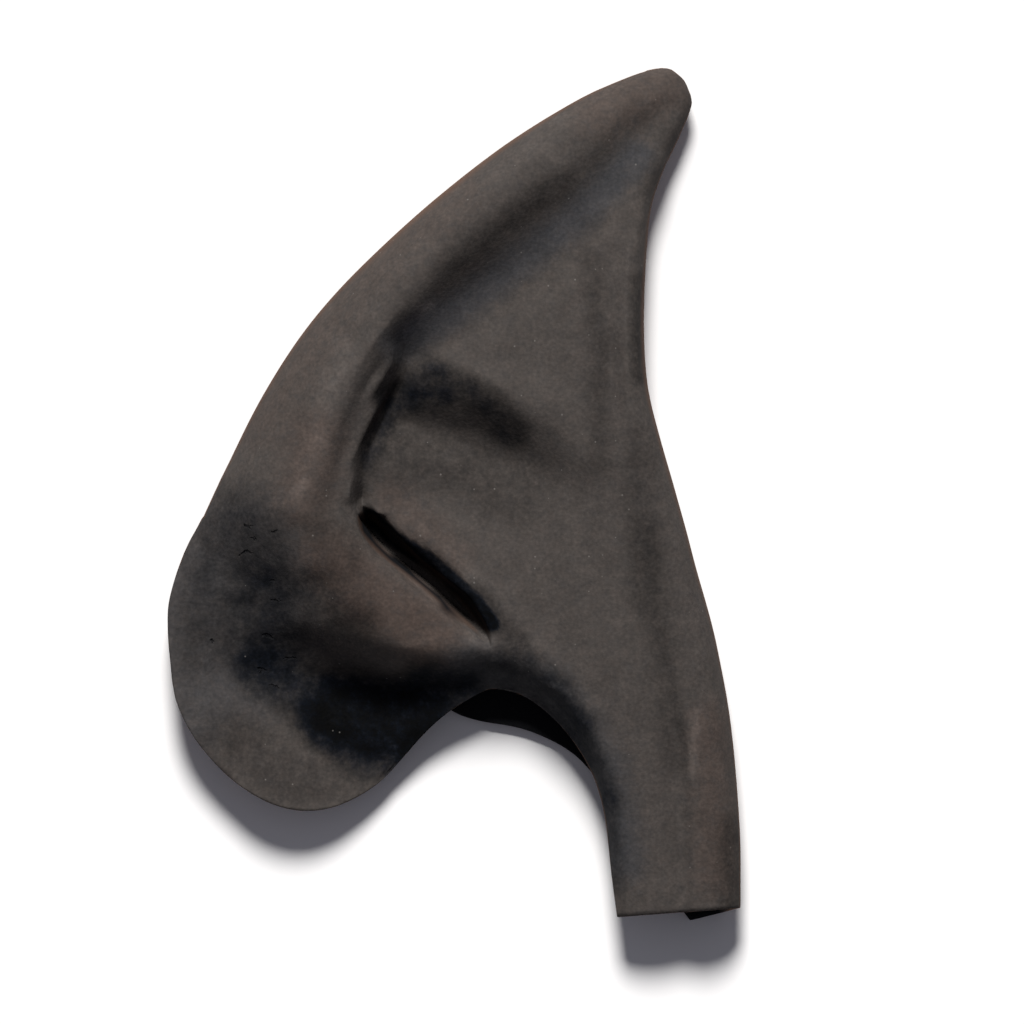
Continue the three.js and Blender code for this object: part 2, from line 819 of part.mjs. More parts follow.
const earTip = new THREE.Group();
const shell = new THREE.Mesh(shellGeometry(), latex);
shell.name = 'ear_tip_shell';
earTip.add(shell);

export default earTip;
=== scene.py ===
"""Looks of the elf ear tip: a thin latex ear point lying on its back on a white table."""

from __future__ import annotations

import json
import logging
import math
from dataclasses import dataclass
from enum import Enum

import bmesh
import bpy
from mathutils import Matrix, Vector
from mathutils.bvhtree import BVHTree

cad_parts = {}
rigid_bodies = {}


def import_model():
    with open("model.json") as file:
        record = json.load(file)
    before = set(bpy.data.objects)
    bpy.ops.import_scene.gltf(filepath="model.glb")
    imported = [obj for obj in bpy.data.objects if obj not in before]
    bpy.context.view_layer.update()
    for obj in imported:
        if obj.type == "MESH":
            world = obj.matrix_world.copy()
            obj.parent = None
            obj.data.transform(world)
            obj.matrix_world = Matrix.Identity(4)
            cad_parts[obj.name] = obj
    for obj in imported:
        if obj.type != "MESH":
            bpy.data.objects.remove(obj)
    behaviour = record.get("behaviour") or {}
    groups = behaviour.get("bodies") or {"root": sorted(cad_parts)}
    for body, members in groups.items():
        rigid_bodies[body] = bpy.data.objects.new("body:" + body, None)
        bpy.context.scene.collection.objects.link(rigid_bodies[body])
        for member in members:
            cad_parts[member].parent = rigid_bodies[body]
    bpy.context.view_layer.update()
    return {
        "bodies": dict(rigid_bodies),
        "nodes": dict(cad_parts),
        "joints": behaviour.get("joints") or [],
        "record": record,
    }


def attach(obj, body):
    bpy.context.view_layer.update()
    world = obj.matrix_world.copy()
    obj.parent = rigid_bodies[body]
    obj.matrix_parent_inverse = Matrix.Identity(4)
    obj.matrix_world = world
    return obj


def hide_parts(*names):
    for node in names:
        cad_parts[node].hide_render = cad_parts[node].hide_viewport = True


LOG = logging.getLogger("ear_tip")
MM = 0.001
IMAGE_PIXELS = 1024
PIXEL_WIDTH = 0.1117 * MM
PIXEL_HEIGHT = 0.1111 * MM
MIDDLE_COLUMN = 454.5
MIDDLE_ROW = 494.0

Colour = tuple[float, float, float, float]


class Socket(Enum):
    """Kinds of socket that the node groups have."""

    NUMBER = "NodeSocketFloat"
    VECTOR = "NodeSocketVector"


class Mark(Enum):
    """Marks on the skin's points that its finish reads."""

    INSIDE = "inside"
    # Painted shade and painted highlights in stops, with some real dark stains on the flange.
    STAIN = "stain"
    RUBBED = "rubbed"
    # Painted cool shade in hollows, with a cooler latex tone on the flange.
    COOL = "cool"


def spot(column: float, row: float, height: float = 0.0) -> Vector:
    """Gives the place on the part that a column and a row of the picture show.

    Args:
        column: Pixels from the left of the picture.
        row: Pixels from the top of the picture.
        height: Height over the table, in metres.

    Returns:
        The place in metres, in the frame of the part.
    """
    across = (column - MIDDLE_COLUMN) * PIXEL_WIDTH
    along = (MIDDLE_ROW - row) * PIXEL_HEIGHT
    return Vector((across, along, height))


def soft_step(share: float) -> float:
    """Gives an even step from 0 to 1 for a share that may lie outside them."""
    share = min(max(share, 0.0), 1.0)
    return share * share * (3.0 - 2.0 * share)


class NodeSheet:
    """Places nodes in one node tree and links them."""

    def __init__(self, tree: bpy.types.NodeTree) -> None:
        """Takes the tree that the nodes go into."""
        self.tree = tree
        self.count = 0

    def add(self, kind: str, **values: object) -> bpy.types.Node:
        """Adds a node and sets its properties.

        Args:
            kind: Blender's name for the kind of node.
            **values: Properties of the node, by name.

        Returns:
            The new node.
        """
        node = self.tree.nodes.new(kind)
        row, column = divmod(self.count, 12)
        node.location = (200 * column, -220 * row)
        self.count += 1
        for name, value in values.items():
            setattr(node, name, value)
        return node

    def feed(self, node: bpy.types.Node, socket: str | int, source: object) -> None:
        """Links a socket to a source, or sets it to a plain value.

        Args:
            node: The node with the input.
            socket: Name or place of the input.
            source: An output socket, or a value.
        """
        target = node.inputs[socket]
        if isinstance(source, bpy.types.NodeSocket):
            self.tree.links.new(source, target)
        else:
            target.default_value = source

    def maths(
        self, operation: str, *sources: object, clamp: bool = False
    ) -> bpy.types.NodeSocket:
        """Adds a Math node.

        Args:
            operation: Blender's name for the sum.
            *sources: The inputs in order.
            clamp: Whether the result stays between 0 and 1.

        Returns:
            The node's output.
        """
        node = self.add("ShaderNodeMath", operation=operation, use_clamp=clamp)
        for place, source in enumerate(sources):
            self.feed(node, place, source)
        return node.outputs[0]

    def vector(self, operation: str, *sources: object) -> bpy.types.Node:
        """Adds a Vector Math node and returns it."""
        node = self.add("ShaderNodeVectorMath", operation=operation)
        for place, source in enumerate(sources):
            self.feed(node, place, source)
        return node

    def noise(
        self, place: object, size: float, detail: float, roughness: float = 0.6
    ) -> bpy.types.NodeSocket:
        """Adds a noise whose lumps are about a given size.

        Args:
            place: The socket with the position.
            size: Size of the lumps, in metres.
            detail: Number of finer layers.
            roughness: Share that each finer layer keeps.

        Returns:
            The noise's value, from 0 to 1.
        """
        node = self.add("ShaderNodeTexNoise")
        self.feed(node, "Vector", place)
        self.feed(node, "Scale", 1.0 / size)
        self.feed(node, "Detail", detail)
        self.feed(node, "Roughness", roughness)
        return node.outputs["Fac"]

    def swing(self, source: object, amount: object) -> bpy.types.NodeSocket:
        """Centres a noise on 0 and scales it by an amount."""
        centred = self.maths("SUBTRACT", source, 0.5)
        return self.maths("MULTIPLY", centred, amount)

    def ramp(
        self,
        source: object,
        low: object,
        high: object,
        start: float = 0.0,
        end: float = 1.0,
    ) -> bpy.types.NodeSocket:
        """Adds a smooth step from one range to another.

        Args:
            source: The value that is read.
            low: Value at which the result is start.
            high: Value at which the result is end.
            start: Result at the low value.
            end: Result at the high value.

        Returns:
            The stepped value.
        """
        node = self.add("ShaderNodeMapRange", interpolation_type="SMOOTHSTEP")
        for socket, value in enumerate((source, low, high, start, end)):
            self.feed(node, socket, value)
        return node.outputs[0]

    def mix(self, share: object, first: object, second: object) -> bpy.types.NodeSocket:
        """Adds a colour mix.

        Args:
            share: How much of the second colour goes in.
            first: The colour underneath.
            second: The colour laid over it.

        Returns:
            The mixed colour.
        """
        node = self.add("ShaderNodeMix", data_type="RGBA")
        self.feed(node, 0, share)
        self.feed(node, 6, first)
        self.feed(node, 7, second)
        return node.outputs[2]


class EffectGroup:
    """A node group that puts out values, with named inputs and outputs."""

    name = "effect"
    inputs: tuple[tuple[str, Socket, object], ...] = ()
    outputs: tuple[tuple[str, Socket], ...] = ()

    def __init__(self) -> None:
        """Makes the group's tree and fills it."""
        self.tree = bpy.data.node_groups.new(self.name, "ShaderNodeTree")
        panel = self.tree.interface
        for name, kind, value in self.inputs:
            socket = panel.new_socket(name=name, in_out="INPUT", socket_type=kind.value)
            socket.default_value = value
        for name, kind in self.outputs:
            panel.new_socket(name=name, in_out="OUTPUT", socket_type=kind.value)
        sheet = NodeSheet(self.tree)
        source = sheet.add("NodeGroupInput")
        result = sheet.add("NodeGroupOutput")
        self.fill(sheet, source.outputs, result)

    def fill(self, sheet: NodeSheet, put: object, result: bpy.types.Node) -> None:
        """Puts the effect's nodes between the group's input and output."""
        raise NotImplementedError

    def place(self, sheet: NodeSheet, **values: object) -> bpy.types.Node:
        """Places the group in a material.

        Args:
            sheet: The material's node sheet.
            **values: Sources or values of the inputs, with _ for a space.

        Returns:
            The group's node.
        """
        node = sheet.add("ShaderNodeGroup", node_tree=self.tree)
        for name, value in values.items():
            sheet.feed(node, name.replace("_", " "), value)
        return node


class PowderGrain(EffectGroup):
    """Matt powdery mottle of aged latex: fine grain, soft clouds and pale specks."""

    name = "powder_grain"
    inputs = (
        ("Position", Socket.VECTOR, (0.0, 0.0, 0.0)),
        ("Grain", Socket.NUMBER, 1.0),
        ("Clouds", Socket.NUMBER, 1.0),
    )
    outputs = (
        ("Shade", Socket.NUMBER),
        ("Tint", Socket.NUMBER),
        ("Speck", Socket.NUMBER),
        ("Height", Socket.NUMBER),
    )
    fine_size = 0.40 * MM
    fine_detail = 2.0
    fine_roughness = 0.5
    cloud_size = 2.6 * MM
    cloud_detail = 4.0
    cloud_roughness = 0.6
    tint_size = 1.1 * MM
    tint_detail = 3.0
    tint_roughness = 0.7
    tint_shift = (0.31, 0.17, 0.0)
    tint_in_clouds = 0.9
    speck_cell = 0.75 * MM
    bare_cells = 0.93
    speck_sizes = (0.07, 0.19)
    speck_core = 0.5

    def fill(self, sheet: NodeSheet, put: object, result: bpy.types.Node) -> None:
        """Adds two sizes of noise for the shade, one for the tint and cells for specks."""
        place = put["Position"]
        fine = sheet.noise(place, self.fine_size, self.fine_detail, self.fine_roughness)
        clouds = sheet.noise(place, self.cloud_size, self.cloud_detail, self.cloud_roughness)
        moved = sheet.vector("ADD", place, self.tint_shift).outputs[0]
        tint = sheet.noise(moved, self.tint_size, self.tint_detail, self.tint_roughness)
        tinted = sheet.swing(tint, self.tint_in_clouds)
        broad = sheet.maths("ADD", sheet.swing(clouds, 1.0), tinted)
        broad = sheet.maths("MULTIPLY", broad, put["Clouds"])
        shade = sheet.maths("ADD", sheet.swing(fine, put["Grain"]), broad)
        cells = sheet.add("ShaderNodeTexVoronoi")
        sheet.feed(cells, "Vector", place)
        sheet.feed(cells, "Scale", 1.0 / self.speck_cell)
        lot = sheet.add("ShaderNodeSeparateColor")
        sheet.feed(lot, 0, cells.outputs["Color"])
        chosen = sheet.maths("GREATER_THAN", lot.outputs[0], self.bare_cells)
        reach = sheet.ramp(lot.outputs[1], 0.0, 1.0, *self.speck_sizes)
        core = sheet.maths("MULTIPLY", reach, self.speck_core)
        near = sheet.ramp(cells.outputs["Distance"], core, reach, 1.0, 0.0)
        speck = sheet.maths("MULTIPLY", near, chosen)
        for socket, value in enumerate((shade, tint, speck, fine)):
            sheet.feed(result, socket, value)


class BubbleDent(EffectGroup):
    """A small pit left by a bubble, turned and stretched, added to the pits so far."""

    name = "bubble_dent"
    inputs = (
        ("Position", Socket.VECTOR, (0.0, 0.0, 0.0)),
        ("Centre", Socket.VECTOR, (0.0, 0.0, 0.0)),
        ("Turn", Socket.VECTOR, (0.0, 0.0, 0.0)),
        ("Size", Socket.VECTOR, (0.001, 0.001, 1.0)),
        ("So Far", Socket.NUMBER, 0.0),
    )
    outputs = (("Pit", Socket.NUMBER),)
    bow = 0.5
    deep_part = 0.35

    def fill(self, sheet: NodeSheet, put: object, result: bpy.types.Node) -> None:
        """Measures the position in the dent's own lengths and keeps the deeper pit."""
        own = sheet.add("ShaderNodeMapping", vector_type="TEXTURE")
        for socket, name in enumerate(("Position", "Centre", "Turn", "Size")):
            sheet.feed(own, socket, put[name])
        parts = sheet.add("ShaderNodeSeparateXYZ")
        sheet.feed(parts, 0, own.outputs[0])
        along, across = parts.outputs[0], parts.outputs[1]
        square = sheet.maths("MULTIPLY", along, along)
        bent = sheet.maths("MULTIPLY_ADD", square, self.bow, across)
        distance = sheet.maths("SQRT", sheet.maths("MULTIPLY_ADD", bent, bent, square))
        pit = sheet.ramp(distance, self.deep_part, 1.0, 1.0, 0.0)
        sheet.feed(result, "Pit", sheet.maths("MAXIMUM", put["So Far"], pit))


@dataclass(frozen=True)
class Stroke:
    """A soft stroke of painted shade, painted highlight, stain, rubbing or painted cool shade, drawn
    through pixels of the picture.
    """

    name: str
    mark: Mark
    path: tuple[tuple[float, float], ...]
    half_width: float
    fade: float
    strength: float

    def box(self) -> tuple[float, float, float, float]:
        """Gives the pixels that the stroke reaches: left, top, right and bottom."""
        reach = self.half_width + self.fade
        columns = [column for column, _ in self.path]
        rows = [row for _, row in self.path]
        return min(columns) - reach, min(rows) - reach, max(columns) + reach, max(rows) + reach

    def at(self, column: float, row: float) -> float:
        """Gives the stroke's strength at a pixel.

        Args:
            column: Pixels from the left.
            row: Pixels from the top.

        Returns:
            Its strength there, 0 outside it.
        """
        here = Vector((column, row))
        reach = self.half_width + self.fade
        nearest = reach
        for first, second in zip(self.path, self.path[1:] or self.path):
            start = Vector(first)
            run = Vector(second) - start
            share = (here - start).dot(run) / max(run.length_squared, 1.0)
            share = min(max(share, 0.0), 1.0)
            nearest = min(nearest, (here - start - run * share).length)
        return self.strength * soft_step((reach - nearest) / self.fade)


@dataclass(frozen=True)
class Dent:
    """A bubble's dent, by the picture's pixels: place, half sizes and turn."""

    column: float
    row: float
    half_length: float
    half_width: float
    turn: float = 0.0


SLIT_LINE = ((371, 517), (395, 540), (430, 561), (454, 581), (474, 602), (491, 624))
# Rubbed strokes are brown wear. The last strokes are painted cool shade, with a cooler latex tone on the
# flange.
# Strokes of the first mark darken or lighten the colour in stops. Most of them are painted shade:
# Those with a strength below 0 are painted highlights. On the flange the darkening also carries the
# latex's own dark stains.
# in the bowl, the valley, the slit, the crease of the rim, the grooves and the band over the arch.
STROKES = (
    Stroke("floor of the bowl", Mark.STAIN, ((346, 714), (392, 722), (414, 730)), 12, 44, 4.7),
    Stroke("lower flange", Mark.STAIN, ((232, 738), (290, 782), (345, 784)), 6, 40, 0.55),
    Stroke("foot of the bowl", Mark.STAIN, ((350, 750), (400, 772)), 4, 28, 1.3),
    Stroke("mouth of the bowl", Mark.STAIN, ((424, 684), (442, 688), (464, 690)), 8, 24, 2.4),
    Stroke("side of the bowl", Mark.STAIN, ((262, 672), (302, 688), (318, 716)), 8, 34, 1.8),
    Stroke("upper flange", Mark.STAIN, ((262, 600), (272, 625), (264, 642)), 10, 46, 1.4),
    Stroke("edge of the flange", Mark.STAIN, ((222, 512), (205, 580), (204, 650)), 2, 42, 0.75),
    Stroke("flange by the crus", Mark.STAIN, ((256, 522), (264, 556)), 6, 40, 0.8),
    Stroke("bowl under the crus", Mark.STAIN, ((310, 588), (335, 600), (362, 622)), 4, 26, 0.9),
    Stroke(
        "band over the arch", Mark.STAIN, ((484, 662), (528, 666), (556, 690), (576, 722)), 4, 24, 1.15
    ),
    Stroke("rim of the arch", Mark.STAIN, ((500, 690), (524, 694), (552, 712)), 2, 14, 0.6),
    Stroke("side of the arch", Mark.STAIN, ((576, 724), (594, 765), (604, 800)), 4, 22, 1.1),
    Stroke("side of the leg", Mark.STAIN, ((606, 800), (611, 850), (614, 880)), 2, 18, 0.8),
    # Darker spots in the painted shade of the band over the arch.
    Stroke("blot over the arch", Mark.STAIN, ((558, 690), (564, 696)), 2, 12, 0.5),
    Stroke("blot by the arch", Mark.STAIN, ((572, 738), (584, 762)), 3, 10, 0.9),
    Stroke("corner of the leg", Mark.STAIN, ((729, 830), (729, 905)), 1, 20, 0.7),
    Stroke("groove of the leg", Mark.STAIN, ((648, 530), (662, 640), (671, 760)), 1, 26, 0.45),
    Stroke(
        "groove by the right edge", Mark.STAIN, ((590, 260), (599, 340), (602, 460)), 1, 20, 0.45
    ),
    Stroke("right edge", Mark.STAIN, ((642, 282), (642, 374)), 3, 14, 0.8),
    Stroke("head of the valley", Mark.STAIN, ((386, 396), (406, 402), (440, 400)), 4, 16, 1.3),
    Stroke(
        "valley", Mark.STAIN, ((414, 382), (438, 379), (464, 388), (490, 408), (512, 432)), 5, 22, 1.3
    ),
    Stroke(
        "corner of the valley", Mark.STAIN, ((384, 362), (402, 356), (438, 366)), 3, 14, 0.7
    ),
    # Painted light on the shaded end of the groove and on the bank of the slit.
    Stroke("rubbed end of the groove", Mark.STAIN, ((410, 328), (426, 306)), 2, 16, -0.7),
    Stroke(
        "rubbed bank of the slit", Mark.STAIN, ((374, 532), (400, 564), (440, 602)), 2, 5, -0.7
    ),
    Stroke("crease of the rim", Mark.STAIN, ((390, 412), (374, 440), (366, 462)), 2, 18, 1.2),
    Stroke(
        "head of the antihelix", Mark.STAIN, ((402, 447), (470, 466), (520, 490)), 4, 50, 0.65
    ),
    Stroke("lip of the slit", Mark.STAIN, ((476, 590), (500, 625), (520, 640)), 2, 14, 0.9),
    Stroke("side of the groove", Mark.STAIN, ((562, 182), (500, 222), (450, 262)), 4, 18, 0.5),
    Stroke("foot of the right wall", Mark.STAIN, ((640, 440), (640, 600)), 4, 20, 0.4),
    Stroke("side of the crus", Mark.STAIN, ((326, 520), (346, 562)), 4, 30, 0.5),
    Stroke("slit", Mark.STAIN, SLIT_LINE, 5, 5, 3.4),
    # Painted highlights on the rim, the leg, the lip and the antihelix.
    Stroke("rubbed rim", Mark.STAIN, ((344, 350), (326, 405), (310, 475)), 2, 20, -0.3),
    Stroke("rubbed spot of the rim", Mark.STAIN, ((344, 366), (334, 384)), 1, 7, -0.25),
    Stroke("rubbed end of the rim", Mark.STAIN, ((297, 491), (304, 482)), 2, 7, -0.4),
    Stroke("rubbed line of the leg", Mark.STAIN, ((696, 712), (691, 776)), 1, 7, -0.4),
    Stroke("rubbed lip", Mark.STAIN, ((470, 638), (487, 644)), 2, 12, -0.4),
    Stroke("rubbed antihelix", Mark.STAIN, ((408, 518), (446, 552), (478, 585)), 2, 12, -0.3),
    Stroke("crus", Mark.RUBBED, ((330, 560), (375, 602), (430, 636)), 12, 36, 0.9),
    Stroke("end of the rim", Mark.RUBBED, ((318, 440), (305, 500)), 10, 36, 0.6),
    Stroke("rim", Mark.RUBBED, ((260, 420), (340, 290), (450, 190)), 4, 46, 0.35),
    Stroke("end of the leg", Mark.RUBBED, ((708, 720), (714, 880)), 4, 30, 0.6),
    Stroke("antihelix", Mark.RUBBED, ((395, 500), (450, 560)), 6, 30, 0.5),
    Stroke("tip", Mark.RUBBED, ((600, 110), (665, 85)), 8, 36, 0.5),
    # Painted cool shade along the groove and over the arch, and a cooler latex tone on the flange.
    Stroke(
        "long groove", Mark.COOL, ((636, 155), (574, 218), (494, 280), (430, 326), (400, 345)), 4, 26, 0.8
    ),
    Stroke("left of the flange", Mark.COOL, ((186, 585), (180, 640), (195, 720)), 6, 50, 0.45),
    Stroke(
        "over the arch", Mark.COOL, ((470, 672), (545, 690), (600, 770), (618, 860)), 4, 40, 0.8
    ),
    Stroke("broad flange", Mark.COOL, ((240, 540), (262, 600), (262, 670)), 20, 56, 0.5),
)

DENTS = (
    Dent(269, 636, 7.5, 3.0, -0.15),
    Dent(262, 670, 6.0, 3.0, -0.5),
    Dent(247, 553, 7.5, 2.3, 0.15),
    Dent(249, 526, 5.0, 2.4, -0.9),
    Dent(255, 538, 4.0, 1.8, -0.5),
    Dent(275, 531, 3.5, 2.0, 0.4),
    Dent(274, 580, 4.5, 1.8, 0.3),
    Dent(276, 600, 7.0, 2.0, 0.0),
    Dent(212, 642, 3.2, 2.4, -0.3),
    Dent(290, 659, 8.0, 1.8, 0.1),
    Dent(275, 687, 6.5, 2.0, -0.3),
    Dent(247, 404, 2.6, 1.8, 0.6),
)


@dataclass(frozen=True)
class LatexFinish:
    """Matt dark latex, powdery and brown where it is rubbed, with painted blue-black shade in its hollows
    and painted highlights on its ridges.
    """

    skin: Colour = (0.0530, 0.0465, 0.0425, 1.0)
    brown: Colour = (0.0600, 0.0452, 0.0385, 1.0)
    # Cooler, darker colour: painted cool shade in the groove and over the arch, and a cooler latex tone
    # on the flange.
    cool_shade_and_tone: Colour = (0.0420, 0.0425, 0.0460, 1.0)
    # Blue-black painted shadow colour, mixed in where the painted shade is deepest.
    shadow_blue: Colour = (0.0200, 0.0300, 0.0520, 1.0)
    # Near-black: bare latex of the inner faces, and painted shade in the bubble dents.
    bare_latex_and_dent_shade: Colour = (0.0070, 0.0072, 0.0085, 1.0)
    cut_edge: Colour = (0.1000, 0.0500, 0.0290, 1.0)
    dust: Colour = (0.2300, 0.2150, 0.2000, 1.0)
    roughness: tuple[float, float] = (0.76, 0.90)
    rough_grain: tuple[float, float] = (0.3, 0.7)
    specular: float = 0.08
    grain: float = 1.2
    clouds: float = 0.85
    tint_swing: float = 0.9
    border_size: float = 1.8 * MM
    border_detail: float = 4.0
    border_roughness: float = 0.7
    border_noise: tuple[float, float] = (0.25, 0.75)
    border_share: tuple[float, float] = (0.55, 1.45)
    # Stops of painted darkening over which the painted shadow blue comes in.
    shadow_blue_stops: tuple[float, float] = (0.6, 4.0)
    # Painted shade and dark stains also coarsen the mottle.
    coarser_where_darkened: float = 0.45
    pit_shade_cover: float = 0.75
    dust_cover: float = 0.35
    side_slope: tuple[float, float] = (0.05, 0.40)
    side_cover: float = 0.8
    grain_depth: float = 0.035 * MM
    dent_depth: float = 0.30 * MM
    bend: float = 1.4 * MM
    dents: tuple[Dent, ...] = DENTS

    def make(self) -> bpy.types.Material:
        """Builds the material.

        Returns:
            The latex material.
        """
        material = bpy.data.materials.new("latex_dark")
        material.use_nodes = True
        sheet = NodeSheet(material.node_tree)
        surface = material.node_tree.nodes["Principled BSDF"]
        place = sheet.add("ShaderNodeTexCoord").outputs["Object"]
        powder = PowderGrain()
        grain = powder.place(sheet, Position=place, Grain=self.grain, Clouds=self.clouds)
        pits = self.pits(sheet, place, grain.outputs["Tint"])
        sheet.feed(surface, "Base Color", self.colour(sheet, place, grain.outputs, pits))
        rough = sheet.ramp(grain.outputs["Height"], *self.rough_grain, *self.roughness)
        sheet.feed(surface, "Roughness", rough)
        surface.inputs["Specular IOR Level"].default_value = self.specular
        sheet.feed(surface, "Normal", self.bumps(sheet, grain.outputs["Height"], pits))
        return material

    def colour(
        self, sheet: NodeSheet, place: object, grain: object, pits: object
    ) -> bpy.types.NodeSocket:
        """Lays the colours over each other, from the skin through painted shade and painted highlights to
        the dust on it.

        Args:
            sheet: The material's node sheet.
            place: The socket with the position.
            grain: Outputs of the powder grain.
            pits: The bubble dents' mask.

        Returns:
            The surface's colour.
        """
        tint = grain["Tint"]
        swing = sheet.swing(tint, self.tint_swing)
        brown = sheet.maths("ADD", self.mark(sheet, Mark.RUBBED), swing, clamp=True)
        colour = sheet.mix(brown, self.skin, self.brown)
        # Painted cool shade, with a cooler latex tone on the flange.
        cool_shade_and_tone = sheet.maths("SUBTRACT", self.mark(sheet, Mark.COOL), swing, clamp=True)
        colour = sheet.mix(cool_shade_and_tone, colour, self.cool_shade_and_tone)
        # Painted shade and highlights, with the flange's dark stains, given ragged borders.
        ragged = sheet.noise(place, self.border_size, self.border_detail, self.border_roughness)
        share = sheet.ramp(ragged, *self.border_noise, *self.border_share)
        stain = sheet.maths("MULTIPLY", self.mark(sheet, Mark.STAIN), share)
        # Where the painted shade is deep it turns to the painted shadow blue.
        shadow_blue_share = sheet.ramp(stain, *self.shadow_blue_stops)
        colour = sheet.mix(shadow_blue_share, colour, self.shadow_blue)
        # Painted shade and dark stains also coarsen the mottle.
        darkened = sheet.maths("MAXIMUM", stain, 0.0)
        coarser = sheet.maths("MULTIPLY_ADD", darkened, self.coarser_where_darkened, 1.0)
        mottle = sheet.maths("MULTIPLY", grain["Shade"], coarser)
        # Darkens the colour by the painted shade and stains, and lightens it by the painted highlights,
        # in stops.
        stops = sheet.maths("SUBTRACT", mottle, stain)
        shaded = sheet.vector("SCALE", colour)
        sheet.feed(shaded, "Scale", sheet.maths("POWER", 2.0, stops))
        colour = sheet.mix(self.steep_sides(sheet), shaded.outputs[0], self.cut_edge)
        colour = sheet.mix(self.mark(sheet, Mark.INSIDE), colour, self.bare_latex_and_dent_shade)
        # Painted shade in the bubble dents: they are darkened towards the near-black colour.
        colour = sheet.mix(sheet.maths("MULTIPLY", pits, self.pit_shade_cover), colour, self.bare_latex_and_dent_shade)
        dusty = sheet.maths("MULTIPLY", grain["Speck"], self.dust_cover)
        return sheet.mix(dusty, colour, self.dust)

    def bumps(self, sheet: NodeSheet, fine: object, pits: object) -> bpy.types.NodeSocket:
        """Gives the surface its fine grain and its dents.

        Args:
            sheet: The material's node sheet.
            fine: Height of the grain.
            pits: Depth of the dents.

        Returns:
            The bent normal.
        """
        grain = sheet.add("ShaderNodeBump")
        sheet.feed(grain, "Distance", self.grain_depth)
        sheet.feed(grain, "Height", fine)
        dents = sheet.add("ShaderNodeBump", invert=True)
        sheet.feed(dents, "Distance", self.dent_depth)
        sheet.feed(dents, "Height", pits)
        sheet.feed(dents, "Normal", grain.outputs[0])
        return dents.outputs[0]

    def pits(self, sheet: NodeSheet, place: object, tint: object) -> object:
        """Places the bubble dents, with their outlines bent a little.

        Args:
            sheet: The material's node sheet.
            place: The socket with the position.
            tint: A noise that bends the outlines.

        Returns:
            The mask of all dents.
        """
        bend = sheet.vector("SCALE", (1.0, 1.0, 0.0))
        sheet.feed(bend, "Scale", sheet.swing(tint, self.bend))
        bent = sheet.vector("ADD", place, bend.outputs[0]).outputs[0]
        group = BubbleDent()
        pits: object = 0.0
        for dent in self.dents:
            size = (dent.half_length * PIXEL_WIDTH, dent.half_width * PIXEL_HEIGHT, 1.0)
            pits = group.place(
                sheet,
                Position=bent,
                Centre=tuple(spot(dent.column, dent.row)),
                Turn=(0.0, 0.0, dent.turn),
                Size=size,
                So_Far=pits,
            ).outputs["Pit"]
        return pits

    @staticmethod
    def mark(sheet: NodeSheet, mark: Mark) -> bpy.types.NodeSocket:
        """Reads one of the skin's own marks."""
        return sheet.add("ShaderNodeAttribute", attribute_name=mark.value).outputs["Fac"]

    def steep_sides(self, sheet: NodeSheet) -> bpy.types.NodeSocket:
        """Finds the sides that stand upright, such as rolled and cut edges."""
        parts = sheet.add("ShaderNodeSeparateXYZ")
        sheet.feed(parts, 0, sheet.add("ShaderNodeNewGeometry").outputs["Normal"])
        return sheet.ramp(parts.outputs[2], *self.side_slope, self.side_cover, 0.0)


@dataclass(frozen=True)
class TableFinish:
    """Plain white table top."""

    top: Colour = (0.86, 0.86, 0.86, 1.0)
    worn: Colour = (0.84, 0.84, 0.84, 1.0)
    cloud_size: float = 60 * MM
    cloud_detail: float = 2.0
    cloud_roughness: float = 0.5
    roughness: float = 0.7

    def make(self) -> bpy.types.Material:
        """Builds the material of the table.

        Returns:
            The white material.
        """
        material = bpy.data.materials.new("table_white")
        material.use_nodes = True
        surface = material.node_tree.nodes["Principled BSDF"]
        sheet = NodeSheet(material.node_tree)
        place = sheet.add("ShaderNodeTexCoord").outputs["Object"]
        clouds = sheet.noise(place, self.cloud_size, self.cloud_detail, self.cloud_roughness)
        sheet.feed(surface, "Base Color", sheet.mix(clouds, self.top, self.worn))
        surface.inputs["Roughness"].default_value = self.roughness
        return material


